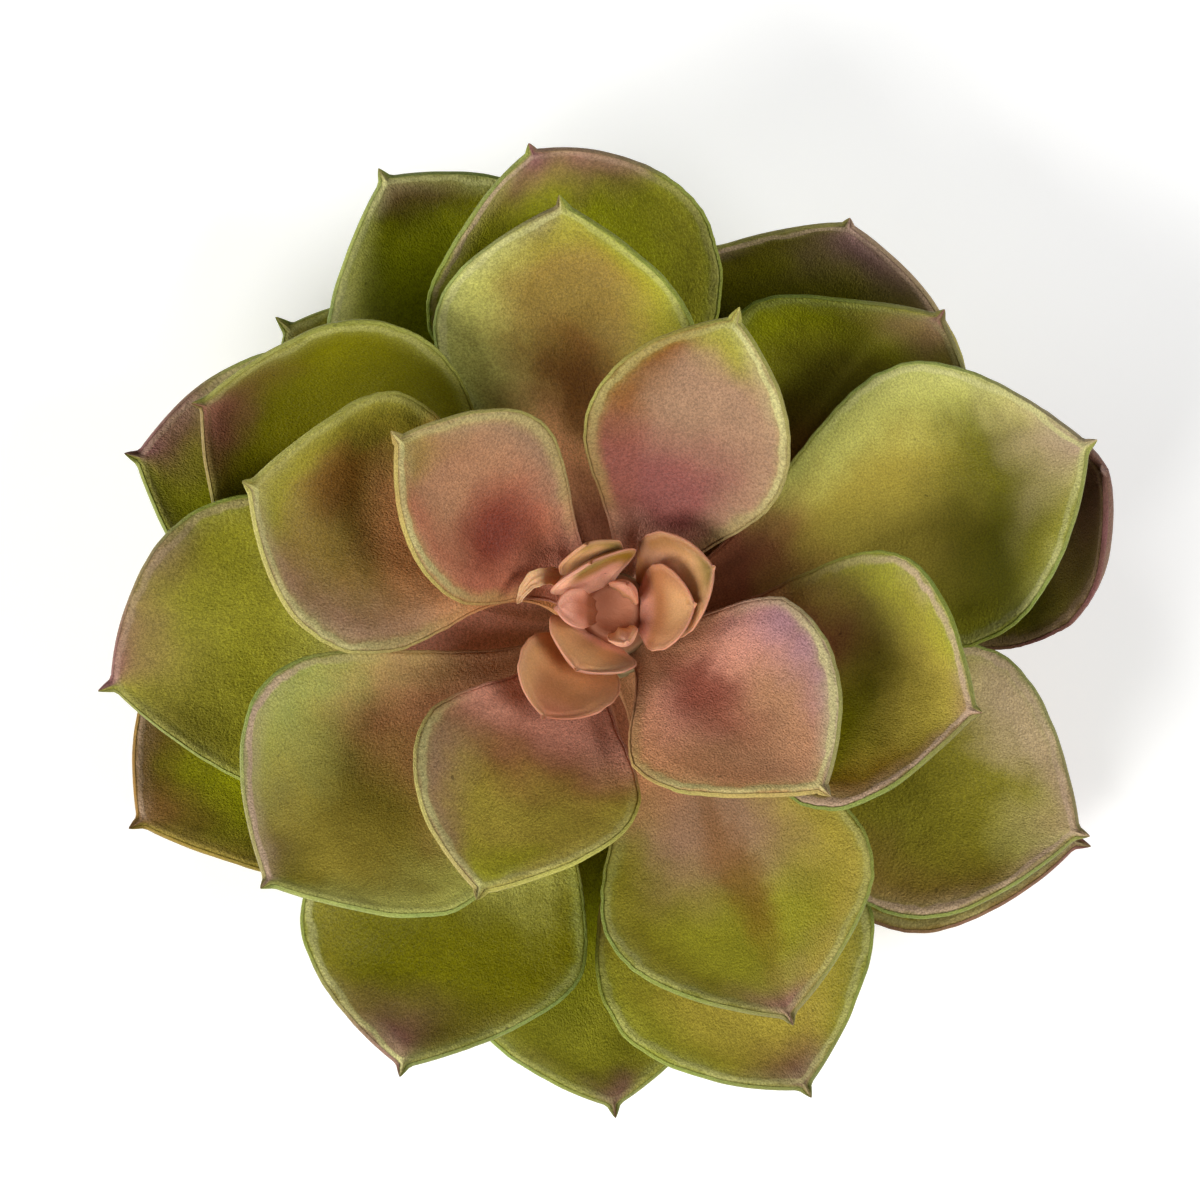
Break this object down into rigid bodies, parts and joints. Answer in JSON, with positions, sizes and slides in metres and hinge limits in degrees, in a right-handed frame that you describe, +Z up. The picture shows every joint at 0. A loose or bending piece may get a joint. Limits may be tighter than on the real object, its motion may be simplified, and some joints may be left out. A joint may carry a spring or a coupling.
{
  "type": "lipstick echeveria rosette",
  "caption": "Open rosette of thick, cupped, pointed succulent leaves, green outside and rosy at the heart, cut with a short stem and resting on its cut end.",
  "frame": {"origin": "centre of the stem's flat cut end, on the surface that the rosette rests on", "axes": "+Z up along the stem, towards the heart; +X to the right and +Y away from a viewer who looks down on the rosette"},
  "size_m": [0.1621, 0.1537, 0.0705],
  "materials": {
    "stem": "dull green-brown skin with pale rings of old leaf scars",
    "skirt_leaf": "olive green flesh with a waxy satin bloom, pale margins and purple-brown tips",
    "lower_leaf": "lime to olive green flesh with a waxy satin bloom, pale margins and mauve tips",
    "middle_leaf": "pink-brown at the foot turning to yellow green, satin bloom, pale margins",
    "inner_leaf": "dusty rose to tan flesh with yellow-green margins and a satin bloom",
    "bud_leaf": "peach to salmon flesh with pink edges and a satin bloom"
  },
  "bodies": {
    "root": {"stem": "stem", "skirt_leaf_1": "skirt_leaf", "skirt_leaf_2": "skirt_leaf", "skirt_leaf_3": "skirt_leaf", "skirt_leaf_4": "skirt_leaf", "skirt_leaf_5": "skirt_leaf", "skirt_leaf_6": "skirt_leaf", "skirt_leaf_7": "skirt_leaf", "skirt_leaf_8": "skirt_leaf", "lower_leaf_1": "lower_leaf", "lower_leaf_2": "lower_leaf", "lower_leaf_3": "lower_leaf", "lower_leaf_4": "lower_leaf", "lower_leaf_5": "lower_leaf", "lower_leaf_6": "lower_leaf", "lower_leaf_7": "lower_leaf", "middle_leaf_1": "middle_leaf", "middle_leaf_2": "middle_leaf", "middle_leaf_3": "middle_leaf", "middle_leaf_4": "middle_leaf", "middle_leaf_5": "middle_leaf", "middle_leaf_6": "middle_leaf", "inner_leaf_1": "inner_leaf", "inner_leaf_2": "inner_leaf", "inner_leaf_3": "inner_leaf", "inner_leaf_4": "inner_leaf", "bud_leaf_1": "bud_leaf", "bud_leaf_2": "bud_leaf", "bud_leaf_3": "bud_leaf", "bud_leaf_4": "bud_leaf", "bud_leaf_5": "bud_leaf", "bud_leaf_6": "bud_leaf", "bud_leaf_7": "bud_leaf", "bud_leaf_8": "bud_leaf", "bud_leaf_9": "bud_leaf", "bud_leaf_10": "bud_leaf"}
  },
  "joints": []
}
